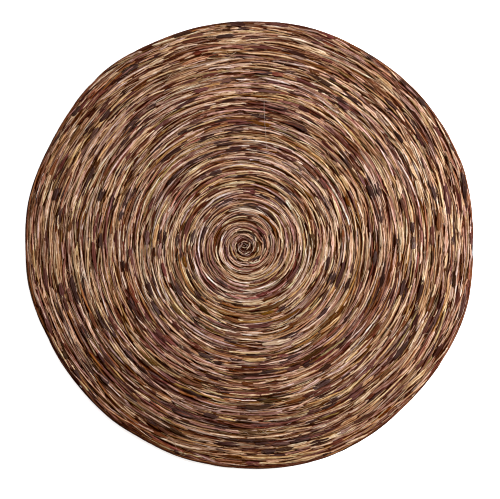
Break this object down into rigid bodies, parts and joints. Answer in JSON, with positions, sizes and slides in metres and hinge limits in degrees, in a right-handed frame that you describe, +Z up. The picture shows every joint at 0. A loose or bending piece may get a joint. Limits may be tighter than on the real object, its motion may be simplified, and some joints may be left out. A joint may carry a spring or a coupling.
{
  "type": "round placemat",
  "caption": "Round coiled placemat of dried grass blades, wound flat in one long bundle and sewn turn to turn.",
  "frame": {"origin": "middle of the bounding box seen from above, on the surface the mat lies on", "axes": "+Z up out of the upper face, +Y away from the person at the table, +X to their right"},
  "size_m": [0.379, 0.3786, 0.0053],
  "materials": {
    "dried_grass": "matt dried grass, blades from straw and cinnamon to umber and near black"
  },
  "bodies": {
    "root": {"coiled_mat": "dried_grass"}
  },
  "joints": []
}
